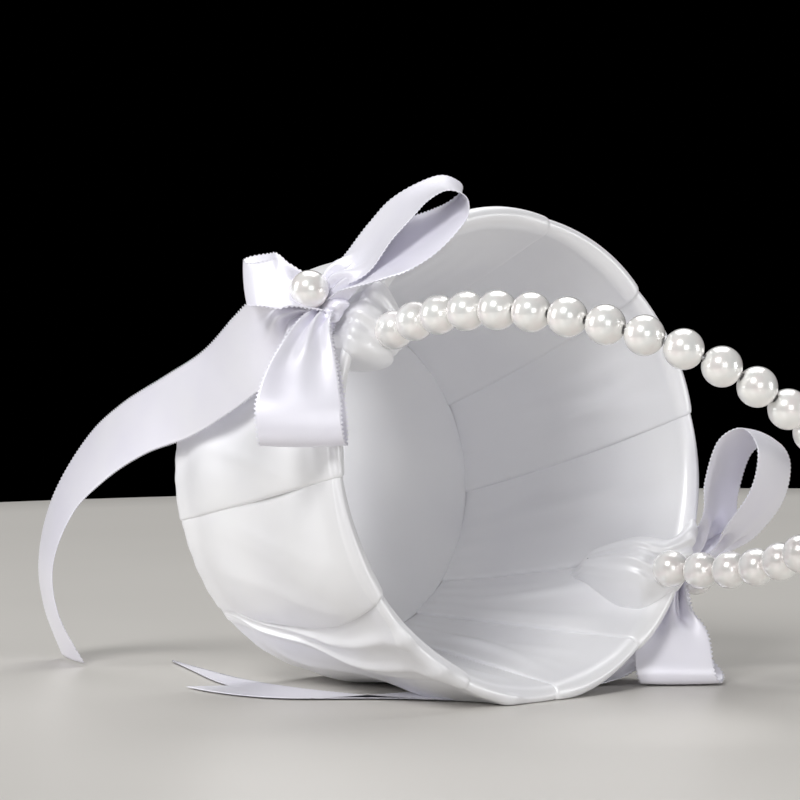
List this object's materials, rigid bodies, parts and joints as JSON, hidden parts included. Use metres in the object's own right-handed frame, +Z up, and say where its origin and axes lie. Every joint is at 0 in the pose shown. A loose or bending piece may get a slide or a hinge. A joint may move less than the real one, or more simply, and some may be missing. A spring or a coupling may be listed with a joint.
{
  "type": "flower girl basket",
  "caption": "Small satin-covered bucket lying on its side, with a beaded wire handle and a ribbon bow with a pearl at each handle root.",
  "frame": {"origin": "middle of the bounding box on the table, with the basket lying on its side", "axes": "+Z up from the table; the cup's axis runs towards -Y from base to mouth, tipped up by 7.3 degrees; +X to the right when looking into the mouth along +Y"},
  "size_m": [0.2028, 0.3126, 0.1658],
  "materials": {
    "satin": "white satin, soft sheen",
    "ribbon": "white satin ribbon with a cool shade and looped edges",
    "pearl": "pearl lacquer, high gloss",
    "wire": "plain steel wire",
    "board": "plain board, hidden by the satin"
  },
  "bodies": {
    "cup": {"wall_shell": "board", "base_board": "board", "base_lining": "satin", "base_cover": "satin", "satin_strip_01": "satin", "satin_strip_02": "satin", "satin_strip_03": "satin", "satin_strip_04": "satin", "satin_strip_05": "satin", "satin_strip_06": "satin", "satin_strip_07": "satin", "satin_strip_08": "satin", "satin_strip_09": "satin", "satin_strip_10": "satin", "satin_strip_11": "satin", "left_pivot_pin": "wire", "right_pivot_pin": "wire", "left_rim_wrap": "ribbon", "right_rim_wrap": "ribbon", "left_knot": "ribbon", "right_knot": "ribbon", "left_bow_pearl": "pearl", "right_bow_pearl": "pearl", "left_loop_upper": "ribbon", "left_loop_back": "ribbon", "left_loop_hanging": "ribbon", "left_tail_long": "ribbon", "right_loop_upper": "ribbon", "right_loop_lower": "ribbon", "right_tail_floor": "ribbon"},
    "handle": {"handle_wire": "wire", "handle_pearl_01": "pearl", "handle_pearl_02": "pearl", "handle_pearl_03": "pearl", "handle_pearl_04": "pearl", "handle_pearl_05": "pearl", "handle_pearl_06": "pearl", "handle_pearl_07": "pearl", "handle_pearl_08": "pearl", "handle_pearl_09": "pearl", "handle_pearl_10": "pearl", "handle_pearl_11": "pearl", "handle_pearl_12": "pearl", "handle_pearl_13": "pearl", "handle_pearl_14": "pearl", "handle_pearl_15": "pearl", "handle_pearl_16": "pearl", "handle_pearl_17": "pearl", "handle_pearl_18": "pearl", "handle_pearl_19": "pearl", "handle_pearl_20": "pearl", "handle_pearl_21": "pearl", "handle_pearl_22": "pearl", "handle_pearl_23": "pearl", "handle_pearl_24": "pearl", "handle_pearl_25": "pearl", "handle_pearl_26": "pearl", "handle_pearl_27": "pearl", "handle_pearl_28": "pearl"}
  },
  "joints": [
    {"name": "handle_swing", "type": "hinge", "parent": "cup", "child": "handle", "pos_m": [0.00028, -0.00772, 0.07472], "axis": [-0.809, 0.0745, 0.583], "range_deg": [-20, 15]}
  ]
}
